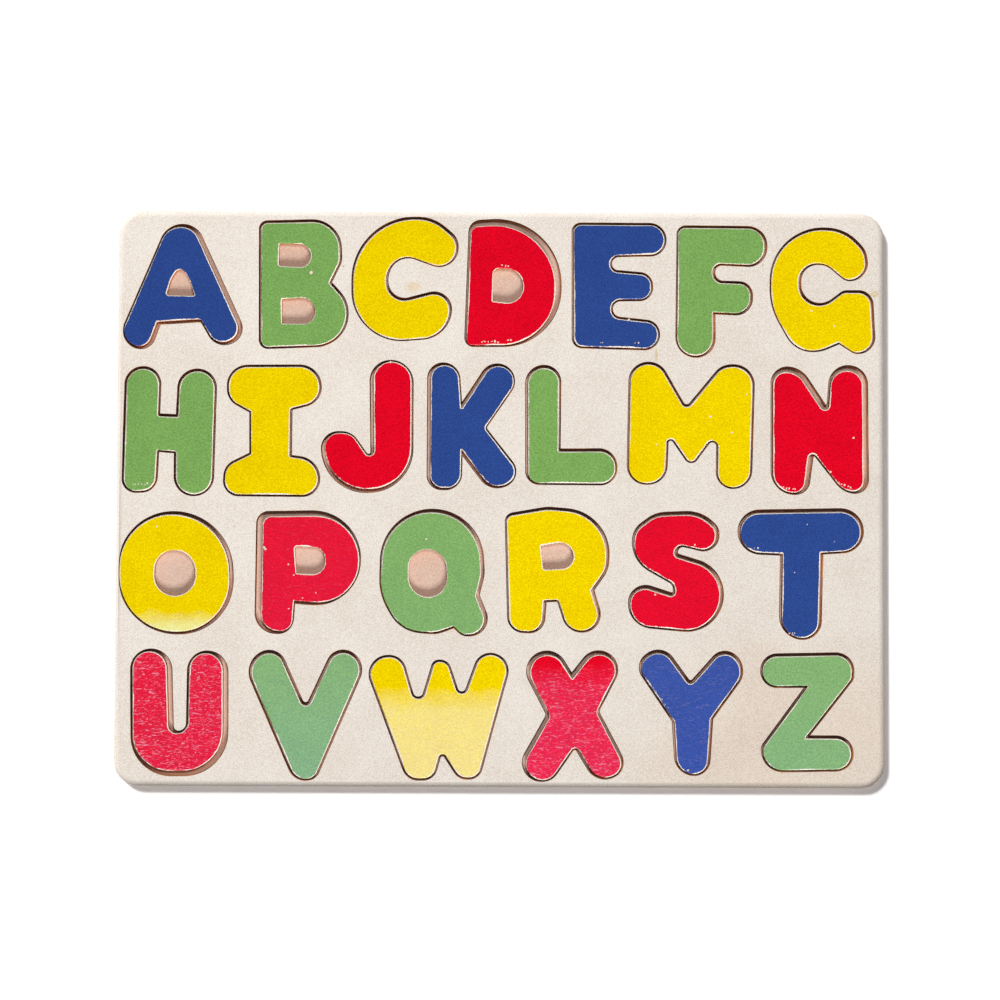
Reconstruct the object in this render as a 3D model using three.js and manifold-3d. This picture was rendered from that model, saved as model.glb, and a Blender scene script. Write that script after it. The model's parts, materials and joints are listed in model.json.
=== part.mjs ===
// A wooden alphabet puzzle: a tray of two glued plywood sheets, with a recess for each loose letter.
// Millimetres. X runs along the rows as they are read, Y up the page and Z out of the face.
// The tray lies on Z = 0 with its middle at X = 0, Y = 0.
import * as THREE from "three";
import Module from "manifold-3d";

// The tray
const backingThickness = 4;
const faceThickness = 5;
const trayCornerRadius = 13;
const topEdgeRound = 3.5;
const bottomEdgeRound = 1;
const topMargin = 3.3;
const rightMargin = 5.2;

// The letters: letterHeight is the painted height of the tallest, and the rest of the set is sized with it
const letterHeight = 65.7;
const letterThickness = 5;
const easedEdge = 0.6;
const easedDepth = 0.5;

// How far a chord may stray from its arc, and the number of flats that make up the tray's rounded edges
const chordError = 0.15;
const edgeFlats = 4;

const wood = new THREE.MeshStandardMaterial({ color: "#ece2d6", roughness: 0.7, metalness: 0 });
const backingWood = new THREE.MeshStandardMaterial({ color: "#dcc0ab", roughness: 0.75, metalness: 0 });
const blue = new THREE.MeshStandardMaterial({ color: "#2c4a92", roughness: 0.45, metalness: 0 });
const green = new THREE.MeshStandardMaterial({ color: "#76ac5a", roughness: 0.45, metalness: 0 });
const yellow = new THREE.MeshStandardMaterial({ color: "#f5d400", roughness: 0.45, metalness: 0 });
const red = new THREE.MeshStandardMaterial({ color: "#e4082a", roughness: 0.45, metalness: 0 });

// The drawing of the set, with its rows from the bottom of the tray upwards.
// below is the wood under the row's lowest recess.
// Each letter is drawn as the edge of its painted face, anticlockwise from its lower left.
// A corner is [x, y, radius]. A counter is a hole right through the letter.
// gap is the wood between its recess and the one before it.
// rise is the height of its recess above the row's base.
// slack is the play all round the letter in its recess.
// seat is how far the letter has slid across and up, as a share of that play.
const rows = [
  {
    below: 3.3,
    letters: [
      {
        name: "letter_u", paint: red, gap: 8.8, rise: 2.3, slack: 1.8, seat: [-0.5, 0.4],
        outline: [
          [1, 3.2, 18.5], [46.2, 3.5, 20.3], [45.8, 62.9, 8.5], [29.9, 62.9, 7.7],
          [29.4, 21.7, 6.8], [18, 21.2, 5.1], [16.5, 63.8, 8.5], [0.2, 63.8, 8],
        ],
      },
      {
        name: "letter_v", paint: green, gap: 10.9, rise: 0.1, slack: 1.1, seat: [0, -0.3],
        outline: [
          [23.2, 0.5, 8.2], [32, 0.7, 5.9], [57.8, 60.8, 8.9], [43.6, 66.5, 7.3],
          [27.8, 32.4, 3.5], [12.3, 66.6, 7.1], [-2.8, 59.6, 9.7],
        ],
      },
      {
        name: "letter_w", paint: yellow, gap: 4, rise: 0.5, slack: 0.8, seat: [0, 0],
        outline: [
          [18.7, 0.2, 7], [30.6, 0.2, 6], [35.1, 16.7, 2.8], [45.3, 0.8, 6],
          [54, 0.8, 5.5], [70.8, 62.8, 7.7], [55.9, 63, 7], [45.8, 35.2, 3.8],
          [37.8, 59.1, 4.2], [32.3, 59.4, 2.5], [23.4, 29.5, 4.3],
          [13.6, 61.9, 7.3], [-4.1, 61.1, 8.3],
        ],
      },
      {
        name: "letter_x", paint: red, gap: 7.8, rise: 0, slack: 1.3, seat: [0.3, -0.45],
        outline: [
          [-2.9, 5.3, 7.8], [10.2, -2.2, 7.5], [25.2, 19.3, 3.1],
          [37.7, -1.3, 8.5], [50.3, 5.9, 6.3], [35.2, 34.7, 4.5],
          [47.9, 59.5, 7.8], [35.1, 66.2, 7.9], [23.2, 51, 0.8], [13.2, 66.9, 8.5],
          [-0.8, 58.4, 8.5], [12.6, 32.8, 4.5],
        ],
      },
      {
        name: "letter_y", paint: blue, gap: 8.5, rise: 3.4, slack: 1.1, seat: [0, -0.45],
        outline: [
          [18.7, 1, 9.1], [32.7, 0.8, 6.9], [34.6, 29, 3.1], [53.4, 54.9, 8.9],
          [41.9, 64, 6.4], [24.6, 44.6, 3.1], [9.6, 65, 7.5], [-2.4, 56.4, 6.4],
          [17.1, 27.6, 3.2],
        ],
      },
      {
        name: "letter_z", paint: green, gap: 9.4, rise: 5.4, slack: 1, seat: [0, -0.3],
        outline: [
          [0.2, 0.4, 9.7], [44.6, 1.3, 7.8], [44.6, 15.9, 7.9], [20.1, 16, 0.8],
          [44.9, 47.6, 3.6], [45.5, 59.1, 7.7], [0, 58.1, 7.3], [0, 44, 7.4],
          [24.5, 44.4, 1.1], [0.4, 11.7, 3.8],
        ],
      },
    ],
  },
  {
    below: 6,
    letters: [
      {
        name: "letter_o", paint: yellow, gap: 1.9, rise: 1.7, slack: 1.2, seat: [-0.65, -0.1],
        outline: [
          [0.5, 0.1, 28.8], [58, 0.1, 26], [55.2, 59.6, 29.3], [1, 60, 26.6],
        ],
        counters: [
          [[17.3, 17.6, 11.3], [40.7, 17.6, 11.2], [39.6, 42.3, 12.1], [18.2, 42.5, 11.1]],
        ],
      },
      {
        name: "letter_p", paint: red, gap: 11.6, rise: 2.1, slack: 1.8, seat: [0.7, -0.3],
        outline: [
          [0.3, 2, 8.2], [15, 0.9, 5.6], [16.2, 17.1, 0.8], [49.9, 14.7, 20.8],
          [50, 60.5, 22.4], [0.9, 59.6, 3.8],
        ],
        counters: [
          [[17.4, 30, 1.2], [33.3, 29.5, 6.9], [33.4, 44.5, 7], [16.2, 45.6, 2.2]],
        ],
      },
      {
        name: "letter_q", paint: green, gap: 10.2, rise: 1.2, slack: 1.1, seat: [-0.45, -0.35],
        outline: [
          [0.2, 20, 28.8], [10.8, 2.3, 17.7], [27.9, 0.8, 15], [37.7, 4.3, 1.2],
          [42.3, 0, 4.9], [54.5, -0.1, 8.2], [52.6, 9.1, 4.8], [48.5, 19.2, 0.9],
          [51.2, 30.2, 15], [49.5, 62.1, 25.7], [1.5, 62.1, 26],
        ],
        counters: [
          [[13.8, 18.2, 10.7], [35.3, 18.3, 10.3], [33.6, 44, 10.7], [13.4, 44.1, 10.4]],
        ],
      },
      {
        name: "letter_r", paint: yellow, gap: 9.4, rise: 2.9, slack: 1, seat: [-0.3, -0.2],
        outline: [
          [1.6, 0.8, 6.8], [17, 0.1, 6.5], [18.2, 16.4, 0.8], [26.9, 16.8, 2.6],
          [32, 0.8, 8.6], [49, 0.9, 7.7], [42.6, 21.2, 0.9], [50.4, 32.3, 12.9],
          [51.5, 59.8, 21.9], [20.4, 62.4, 20], [0, 58.9, 3],
        ],
        counters: [
          [[17.9, 31.1, 2.2], [34.9, 32.1, 7.3], [34.7, 47.8, 8.1], [16.5, 44.7, 1.6]],
        ],
      },
      {
        name: "letter_s", paint: red, gap: 10.3, rise: 4, slack: 1.2, seat: [-0.25, -0.4],
        outline: [
          [0.1, 3.2, 10.7], [45.8, -1.1, 17.3], [45.6, 30.4, 16.4],
          [21.7, 37.6, 3.2], [22.1, 45.8, 5.2], [44.1, 40.5, 6.4],
          [43.2, 51.9, 4.9], [35.5, 59.5, 17.4], [12.9, 58.5, 14.8],
          [2.8, 51.1, 9.5], [1, 36.8, 15.2], [23.1, 24.3, 5.5], [23.9, 15.8, 2.9],
          [0.3, 23.2, 7],
        ],
      },
      {
        name: "letter_t", paint: blue, gap: 7.8, rise: 0, slack: 1.2, seat: [0, -0.35],
        outline: [
          [21.1, 0.5, 10.3], [38.9, 0.5, 7.9], [40.1, 44.7, 1.2], [61, 46, 9.4],
          [61.1, 64.9, 10.2], [-0.3, 63.7, 9.5], [-0.2, 45, 10.1],
          [21.8, 44.1, 0.8],
        ],
      },
    ],
  },
  {
    below: 5.3,
    letters: [
      {
        name: "letter_h", paint: green, gap: 3.3, rise: 0.2, slack: 0.9, seat: [0, -0.2],
        outline: [
          [0.4, 1, 5.9], [15.6, 1.8, 6.6], [16.5, 22.8, 1.2], [27.7, 21.9, 1.6],
          [27.7, -0.3, 8.5], [44.9, -0.2, 8.7], [46.4, 62.7, 8.9],
          [29.5, 62.6, 9.2], [28.5, 38.7, 1.1], [16.7, 39.2, 1.8],
          [17.5, 63.9, 8.6], [1.8, 63.8, 8.9],
        ],
      },
      {
        name: "letter_i", paint: yellow, gap: 4.2, rise: 0, slack: 0.8, seat: [-0.25, 0],
        outline: [
          [0.5, 0.6, 6.4], [48.5, 0.3, 8.2], [47.5, 17, 10.9], [33.2, 19, 1.4],
          [33.3, 45.3, 2.2], [48.5, 49.1, 9.2], [48.5, 66, 10.3], [2.2, 65.7, 9.1],
          [2.7, 49.9, 8.2], [14.2, 43.6, 1], [14.4, 20.5, 1.8], [1.3, 14, 7.5],
        ],
      },
      {
        name: "letter_j", paint: red, gap: 0.4, rise: 2.2, slack: 1.2, seat: [0.4, 0.55],
        outline: [
          [0.9, -0.4, 21.5], [44.3, 0.5, 21.1], [44.2, 65.3, 9.9],
          [25.4, 65.2, 8.8], [26.3, 9.3, 3.1], [13.2, 27.9, 8], [0.3, 28, 6.8],
        ],
      },
      {
        name: "letter_k", paint: blue, gap: 7.6, rise: 3.8, slack: 1, seat: [0.6, 0],
        outline: [
          [0.9, 0, 5.8], [15.4, -0.2, 6.7], [15.8, 21.3, 0.8], [34, -2.7, 9],
          [46.3, 6.7, 6.3], [27.7, 30.4, 3], [45.7, 56.7, 7.4], [33.5, 65.3, 7.5],
          [15.7, 38.2, 1], [14, 62.6, 7.7], [1, 62.7, 6.8],
        ],
      },
      {
        name: "letter_l", paint: green, gap: 5.1, rise: 6.6, slack: 1, seat: [0.2, -0.3],
        outline: [
          [0.7, 0.2, 5.2], [44.7, 0, 7], [44.8, 15.6, 7.6], [15.2, 15.3, 0.9],
          [15.5, 59, 7.5], [0.4, 58.9, 8.4],
        ],
      },
      {
        name: "letter_m", paint: yellow, gap: 5.5, rise: 5, slack: 0.8, seat: [0, -0.25],
        outline: [
          [0.1, 2.2, 8.4], [17.7, 2, 8.5], [18.9, 31, 2.9], [32, 11.9, 2.2],
          [47, 32.1, 3.7], [46.4, 0.1, 7.2], [61.9, 0.1, 8.3], [63.7, 62.6, 9.3],
          [48.4, 61.3, 9.3], [29.2, 38.1, 3.6], [14.9, 62.9, 8.8],
          [1.2, 62.7, 8.6],
        ],
      },
      {
        name: "letter_n", paint: red, gap: 8.9, rise: 2, slack: 1.7, seat: [-0.4, -0.45],
        outline: [
          [-0.1, 1.9, 9.8], [14.6, 0.8, 5.2], [17.9, 25.7, 3], [36, 2.6, 10.6],
          [45.8, 1.1, 4.7], [45.4, 63.8, 8], [30.5, 63.7, 8], [28.5, 37.3, 3],
          [11.8, 62.4, 10.8], [-0.1, 63.5, 6.1],
        ],
      },
    ],
  },
  {
    below: 2.3,
    letters: [
      {
        name: "letter_a", paint: blue, gap: 3.3, rise: 3.4, slack: 1.3, seat: [-0.7, 0.1],
        outline: [
          [-2, 2.7, 7.8], [11.1, -2.3, 5.9], [16.5, 12.2, 1], [40.1, 13.7, 3.3],
          [48.3, -0.3, 7.3], [60.7, 5.2, 6.4], [34.8, 61.1, 9.6],
          [22.2, 60.3, 10.1],
        ],
        counters: [
          [
            [20.7, 24.9, 1.8], [37.4, 24.6, 1.3], [34.2, 34.2, 14],
            [28.7, 42.6, 3.6], [23.4, 34.1, 14],
          ],
        ],
      },
      {
        name: "letter_b", paint: green, gap: 8.7, rise: 3.8, slack: 0.9, seat: [0, -0.1],
        outline: [
          [1.3, -0.7, 3], [46.2, 1, 15.8], [43.7, 23, 15], [35.3, 32.3, 1.2],
          [40.9, 43.9, 8.2], [40.1, 64.1, 13.6], [0.9, 63.1, 2.7],
        ],
        counters: [
          [[10.9, 10.5, 1.2], [29.3, 10.3, 6.7], [29.2, 25.9, 7.8], [10.8, 24.4, 1]],
          [[8.9, 40.7, 1.8], [26.8, 39.9, 6.1], [26.7, 53.3, 6.8], [9.2, 53.6, 1.3]],
        ],
      },
      {
        name: "letter_c", paint: yellow, gap: 2.1, rise: 8.2, slack: 0.8, seat: [-0.25, -0.4],
        outline: [
          [1.1, -1.2, 24.6], [49.4, 2.7, 15], [50.5, 25.9, 7.9],
          [19.6, 17.9, 10.3], [16.2, 31.8, 13.6], [21.6, 47.6, 11.8],
          [53.9, 35.9, 8.5], [53.2, 52.5, 8.1], [41.6, 62.5, 20.7],
          [0.8, 63.9, 31.6],
        ],
      },
      {
        name: "letter_d", paint: red, gap: 3.8, rise: 5.2, slack: 1.8, seat: [-0.55, -0.6],
        outline: [
          [0.5, -0.3, 2.2], [45.9, -0.1, 28], [45.6, 63.5, 31.6], [2.6, 60.7, 3.8],
        ],
        counters: [
          [[12.9, 21.8, 1], [29.8, 19.8, 8.7], [30.1, 39.6, 9.5], [13.3, 40.1, 3.8]],
        ],
      },
      {
        name: "letter_e", paint: blue, gap: 5.8, rise: 3.8, slack: 0.8, seat: [0.1, 0],
        outline: [
          [0.9, 0.5, 3.8], [43.6, -0.7, 7.2], [43.4, 11.5, 6.4], [18.9, 14.2, 5.8],
          [18.9, 25, 5.7], [39.8, 25.3, 5.4], [39.8, 36.6, 5.3], [18.4, 38.4, 5],
          [18.4, 48.1, 5.3], [46.8, 48.8, 7.3], [46.8, 62.8, 7.6], [0.7, 62.9, 3],
        ],
      },
      {
        name: "letter_f", paint: green, gap: 5.3, rise: 0, slack: 0.9, seat: [-0.3, 0],
        outline: [
          [0.1, -0.6, 9.8], [17.6, -0.7, 9.2], [17.5, 22.1, 0.8], [37, 21.3, 7.2],
          [37, 35.7, 5.4], [17.6, 36.3, 6], [17.2, 47.8, 5.1], [44.4, 46.7, 8.2],
          [44.6, 64.8, 8.4], [0.8, 65.1, 3],
        ],
      },
      {
        name: "letter_g", paint: yellow, gap: 1.8, rise: 2.3, slack: 0.8, seat: [-0.35, -0.25],
        outline: [
          [0, 23.1, 35.4], [12.6, 1.1, 13.9], [24.2, 0.4, 17.8], [35, 5, 1.2],
          [42.9, -0.2, 4.8], [52.3, -0.7, 7.7], [50.7, 29.7, 6], [37.6, 29.7, 4.2],
          [28.7, 23.1, 12.1], [13.4, 22.7, 11.2], [13.3, 46.7, 10.2],
          [28.7, 46.1, 10.9], [38.8, 37.7, 4.9], [49.5, 38.4, 7.9],
          [47.2, 51.8, 10.5], [37.4, 62.1, 21], [0.9, 63.6, 26.2],
        ],
      },
    ],
  },
];

// Rounds the corners of a closed outline.
// Each rounding comes back as its sharp corner, the centre and radius of its arc, the angle at which the arc
// starts and the angle it turns through, which is negative in a hollow corner.
// Where a side is too short for the roundings at its ends, both are made smaller until they fit.
function roundOutline(corners) {
  const points = corners.map(([x, y]) => new THREE.Vector2(x, y));
  const next = (i) => (i + 1) % points.length;
  const before = (i) => (i + points.length - 1) % points.length;
  const sides = points.map((point, i) => points[next(i)].clone().sub(point));
  const turns = sides.map((side, i) => {
    const arriving = sides[before(i)];
    return Math.atan2(arriving.cross(side), arriving.dot(side));
  });
  const radii = corners.map((corner) => corner[2]);
  const reaches = radii.map((radius, i) => radius * Math.tan(Math.abs(turns[i]) / 2));
  const shares = sides.map((side, i) => Math.min(1, side.length() / (reaches[i] + reaches[next(i)])));
  return points.map((corner, i) => {
    const share = Math.min(shares[i], shares[before(i)]);
    const along = sides[before(i)].clone().normalize();
    const inward = new THREE.Vector2(-along.y, along.x).multiplyScalar(Math.sign(turns[i]));
    const radius = radii[i] * share;
    const arcStart = corner.clone().addScaledVector(along, -reaches[i] * share);
    const centre = arcStart.addScaledVector(inward, radius);
    const start = Math.atan2(-inward.y, -inward.x);
    return { corner, centre, radius, start, turn: turns[i] };
  });
}

// The points of a rounded outline, moved outwards by grow on every side.
// A hollow corner that closes up as the outline grows is left sharp.
// Where two arcs meet they share a point.
function ringOf(roundings, grow) {
  const points = roundings.flatMap(({ corner, centre, radius, start, turn }) => {
    const grown = radius + Math.sign(turn) * grow;
    if (grown <= 0) {
      return [corner.clone().lerp(centre, grow / radius)];
    }
    const chordTurn = 2 * Math.acos(1 - Math.min(1, chordError / radius));
    const chords = Math.ceil(Math.abs(turn) / chordTurn);
    return Array.from({ length: chords + 1 }, (_, step) => {
      const angle = start + (turn * step) / chords;
      return new THREE.Vector2(Math.cos(angle), Math.sin(angle)).multiplyScalar(grown).add(centre);
    });
  });
  return points.filter((point, i) => point.distanceTo(points.at(i - 1)) > 1e-3);
}

// A closed solid from walls of stacked rings.
// The first wall is the outside, anticlockwise, and the others are holes, clockwise.
// Each level of a wall is { z, ring }, lowest first. Flat caps close the lowest and highest levels.
function solidFromWalls(walls) {
  const positions = [];
  const faces = [];
  const lowest = [];
  const highest = [];
  for (const levels of walls) {
    const count = levels[0].ring.length;
    const first = positions.length / 3;
    for (const { z, ring } of levels) {
      for (const point of ring) {
        positions.push(point.x, point.y, z);
      }
    }
    for (let level = 0; level + 1 < levels.length; level += 1) {
      for (let i = 0; i < count; i += 1) {
        const low = first + level * count + i;
        const lowNext = first + level * count + ((i + 1) % count);
        faces.push(low, lowNext, lowNext + count, low, lowNext + count, low + count);
      }
    }
    for (let i = 0; i < count; i += 1) {
      lowest.push(first + i);
      highest.push(first + (levels.length - 1) * count + i);
    }
  }
  const capFaces = (level) => {
    const [outside, ...holes] = walls.map((levels) => levels.at(level).ring);
    return THREE.ShapeUtils.triangulateShape(outside, holes);
  };
  for (const [a, b, c] of capFaces(0)) {
    faces.push(lowest[a], lowest[c], lowest[b]);
  }
  for (const [a, b, c] of capFaces(-1)) {
    faces.push(highest[a], highest[b], highest[c]);
  }
  const geometry = new THREE.BufferGeometry();
  geometry.setAttribute("position", new THREE.Float32BufferAttribute(positions, 3));
  geometry.setIndex(faces);
  return geometry;
}

// A letter stands on z = 0. Its edge is eased all round the painted face, outside and in the counters.
function letterGeometry(outline, counters) {
  const shoulder = letterThickness - Math.min(easedDepth, letterThickness / 2);
  const wallOf = (corners, grow) => {
    const roundings = roundOutline(corners);
    return [
      { z: 0, ring: ringOf(roundings, grow) },
      { z: shoulder, ring: ringOf(roundings, grow) },
      { z: letterThickness, ring: ringOf(roundings, 0) },
    ];
  };
  const outside = wallOf(outline, easedEdge);
  const holes = counters.map((counter) => wallOf(counter, -easedEdge));
  holes.flat().forEach((level) => level.ring.reverse());
  return solidFromWalls([outside, ...holes]);
}

// The levels of an edge that is rounded over into the flat face at height z.
// Up is 1 for a top face and -1 for an underside.
function roundedEdge(z, radius, up) {
  return Array.from({ length: edgeFlats + 1 }, (_, step) => {
    const angle = (Math.PI / 2) * (step / edgeFlats);
    return { z: z - up * radius * (1 - Math.sin(angle)), inset: radius * (1 - Math.cos(angle)) };
  });
}

// A sheet with rounded corners, as wide at each level as its inset leaves it
function sheetGeometry(width, depth, levels) {
  const x = width / 2;
  const y = depth / 2;
  const radius = trayCornerRadius;
  const roundings = roundOutline([[-x, -y, radius], [x, -y, radius], [x, y, radius], [-x, y, radius]]);
  return solidFromWalls([levels.map(({ z, inset }) => ({ z, ring: ringOf(roundings, -inset) }))]);
}

// Brings the drawing to the size that letterHeight asks for
const drawnHeights = rows.flatMap(({ letters }) =>
  letters.map(({ outline }) => {
    const bounds = new THREE.Box2().setFromPoints(ringOf(roundOutline(outline), 0));
    return bounds.max.y - bounds.min.y;
  }),
);
const scale = letterHeight / Math.max(...drawnHeights);
const sized = (corners) => corners.map((corner) => corner.map((value) => value * scale));

// Places the rows from the bottom of the tray upwards, and each row's recesses from left to right.
// A recess is the letter's outline grown by its eased edge and its slack.
const places = [];
let trayWidth = 0;
let rowTop = 0;
for (const { below, letters } of rows) {
  const rowBase = rowTop + below * scale;
  let rowEnd = 0;
  for (const letter of letters) {
    const slack = letter.slack * scale;
    const outline = sized(letter.outline);
    const counters = (letter.counters ?? []).map(sized);
    const recess = ringOf(roundOutline(outline), easedEdge + slack);
    const bounds = new THREE.Box2().setFromPoints(recess);
    const corner = new THREE.Vector2(rowEnd + letter.gap * scale, rowBase + letter.rise * scale);
    const home = corner.sub(bounds.min);
    const slide = new THREE.Vector2(...letter.seat).multiplyScalar(slack);
    places.push({ name: letter.name, paint: letter.paint, outline, counters, recess, home, slide });
    rowEnd = home.x + bounds.max.x;
    rowTop = Math.max(rowTop, home.y + bounds.max.y);
  }
  trayWidth = Math.max(trayWidth, rowEnd + rightMargin);
}
const trayDepth = rowTop + topMargin;
const trayTop = backingThickness + faceThickness;
const trayMiddle = new THREE.Vector2(trayWidth / 2, trayDepth / 2);

// Solids for cutting, and back again
const wasm = await Module();
wasm.setup();

function cuttable(geometry) {
  const vertProperties = geometry.getAttribute("position").array;
  const triVerts = new Uint32Array(geometry.index.array);
  return new wasm.Manifold(new wasm.Mesh({ numProp: 3, vertProperties, triVerts }));
}

function geometryOf(solid) {
  const { vertProperties, triVerts } = solid.getMesh();
  const geometry = new THREE.BufferGeometry();
  geometry.setAttribute("position", new THREE.BufferAttribute(vertProperties, 3));
  geometry.setIndex(new THREE.BufferAttribute(triVerts, 1));
  return geometry;
}

const puzzle = new THREE.Group();

function addPiece(name, geometry, material) {
  const flat = geometry.toNonIndexed();
  flat.computeVertexNormals();
  const piece = new THREE.Mesh(flat, material);
  piece.name = name;
  puzzle.add(piece);
  return piece;
}

// The backing closes the recesses from below
const bottomRound = Math.min(bottomEdgeRound, 0.8 * backingThickness, 0.8 * trayCornerRadius);
const backingLevels = [
  ...roundedEdge(0, bottomRound, -1).reverse(),
  { z: backingThickness, inset: 0 },
];
addPiece("backing_sheet", sheetGeometry(trayWidth, trayDepth, backingLevels), backingWood);

// The face sheet has every recess cut right through it
const topRound = Math.min(topEdgeRound, 0.8 * faceThickness, 0.8 * trayCornerRadius);
const faceLevels = [
  { z: backingThickness, inset: 0 },
  ...roundedEdge(trayTop, topRound, 1),
];
const face = cuttable(sheetGeometry(trayWidth, trayDepth, faceLevels));
const cutters = places.map(({ recess, home }) => {
  const ring = recess.map((point) => point.clone().add(home).sub(trayMiddle));
  return cuttable(solidFromWalls([[{ z: backingThickness - 1, ring }, { z: trayTop + 1, ring }]]));
});
addPiece("face_sheet", geometryOf(wasm.Manifold.difference([face, ...cutters])), wood);

// Each letter lies on the backing, slid a little to one side of its recess
for (const { name, paint, outline, counters, home, slide } of places) {
  const piece = addPiece(name, letterGeometry(outline, counters), paint);
  const rest = home.clone().add(slide).sub(trayMiddle);
  piece.position.set(rest.x, rest.y, backingThickness);
}

export default puzzle;
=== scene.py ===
import json
import math

import bmesh
import bpy
import numpy as np
from mathutils import Euler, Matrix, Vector, geometry


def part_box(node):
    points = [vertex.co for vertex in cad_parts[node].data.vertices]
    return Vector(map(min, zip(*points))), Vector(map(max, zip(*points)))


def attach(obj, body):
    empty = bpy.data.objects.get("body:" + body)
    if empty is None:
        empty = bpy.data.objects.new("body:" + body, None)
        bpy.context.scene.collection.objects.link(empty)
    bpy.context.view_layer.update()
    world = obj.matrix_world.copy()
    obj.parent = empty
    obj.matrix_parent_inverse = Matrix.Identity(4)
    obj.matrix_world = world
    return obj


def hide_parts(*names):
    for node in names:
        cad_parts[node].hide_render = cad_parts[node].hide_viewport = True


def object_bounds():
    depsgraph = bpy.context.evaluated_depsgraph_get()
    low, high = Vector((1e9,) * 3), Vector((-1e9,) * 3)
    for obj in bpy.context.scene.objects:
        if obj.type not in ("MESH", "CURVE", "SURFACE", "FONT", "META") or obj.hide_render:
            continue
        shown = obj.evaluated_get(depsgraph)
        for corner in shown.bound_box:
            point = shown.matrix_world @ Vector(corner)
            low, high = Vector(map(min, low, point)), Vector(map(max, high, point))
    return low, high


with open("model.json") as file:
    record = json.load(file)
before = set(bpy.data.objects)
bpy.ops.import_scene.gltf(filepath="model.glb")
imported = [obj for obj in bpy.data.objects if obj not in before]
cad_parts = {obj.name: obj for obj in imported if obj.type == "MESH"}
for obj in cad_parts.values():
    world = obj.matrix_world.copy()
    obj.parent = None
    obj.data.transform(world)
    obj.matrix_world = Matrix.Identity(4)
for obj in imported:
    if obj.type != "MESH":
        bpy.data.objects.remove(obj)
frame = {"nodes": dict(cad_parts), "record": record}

cadBox = [list(corner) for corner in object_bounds()]
mm = 0.001
print("frame loaded")


# sRGB hex to linear
def linear(hexColour):
    channels = [int(hexColour[i:i + 2], 16) / 255 for i in (1, 3, 5)]
    return [c / 12.92 if c <= 0.04045 else ((c + 0.055) / 1.055) ** 2.4 for c in channels] + [1]


# the scale of a pattern whose marks are this many mm across
def patternScale(size):
    return 1 / (size * mm)


# adds a node with its settings, and either links or sets each named input
def addNode(tree, kind, inputs=None, **settings):
    made = tree.nodes.new(kind)
    for name, value in settings.items():
        setattr(made, name, value)
    for key, value in (inputs or {}).items():
        if isinstance(value, bpy.types.NodeSocket):
            tree.links.new(value, made.inputs[key])
        else:
            made.inputs[key].default_value = value
    return made


def startMaterial(name):
    material = bpy.data.materials.new(name)
    material.use_nodes = True
    material.node_tree.nodes.clear()
    return material, material.node_tree


# how the CAD outlines are read: mm, apart from the step in degrees and the bend in radians
outlineLook = {"level": 0.001, "sameChord": 0.002, "sameRadius": 0.05, "straightBend": 0.02,
               "stepDegrees": 5}


# closed loops round a node's flat top (up = 1) or its flat underside (up = -1), in mm, wood on the left
def flatLoops(name, up):
    mesh = frame["nodes"][name].data
    points = np.array([v.co for v in mesh.vertices]) / mm
    level = points[:, 2].max() if up > 0 else points[:, 2].min()
    keys = [tuple(p) for p in np.round(points[:, :2], 3)]
    place = dict(zip(keys, points[:, :2]))
    halves = set()
    for polygon in mesh.polygons:
        ids = list(polygon.vertices)
        if np.all(np.abs(points[ids, 2] - level) < outlineLook["level"]):
            halves.update((keys[a], keys[b]) for a, b in zip(ids, ids[1:] + ids[:1]))
    follows = {a: b for a, b in halves if (b, a) not in halves}
    loops = []
    while follows:
        start, here = follows.popitem()
        loop = [start]
        while here != start:
            loop.append(here)
            here = follows.pop(here)
        loops.append(np.array([place[key] for key in loop][::up]))
    return loops


def loopArea(loop):
    after = np.roll(loop, -1, 0)
    return 0.5 * float(np.sum(loop[:, 0] * after[:, 1] - after[:, 0] * loop[:, 1]))


def middleOf(loop):
    return (loop.min(0) + loop.max(0)) / 2


# Each side of a loop is a straight run or one chord of an arc, and the loop runs smoothly from side to side.
# So half of the bend of a side and half of the next one's make up the turn between them.
# That gives all the bends but for one shift, and the arcs come back from their chords.
def arcsOf(loop):
    sides = np.roll(loop, -1, 0) - loop
    lengths = np.hypot(sides[:, 0], sides[:, 1])
    headings = np.arctan2(sides[:, 1], sides[:, 0])
    turns = (headings - np.roll(headings, 1) + math.pi) % (2 * math.pi) - math.pi
    count = len(loop)
    bends = np.zeros(count)
    for i in range(1, count):
        bends[i] = 2 * turns[i] - bends[i - 1]
    signs = np.where(np.arange(count) % 2 == 0, 1, -1)
    # neighbouring chords of one arc are as long as each other and bend alike
    alike = [i for i in range(1, count) if abs(lengths[i] - lengths[i - 1]) < outlineLook["sameChord"]]
    shift = np.median([-signs[i] * (bends[i] - bends[i - 1]) / 2 for i in alike])
    bends = bends + signs * shift
    bends[np.abs(bends) < outlineLook["straightBend"]] = 0
    return lengths, headings, bends


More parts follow.
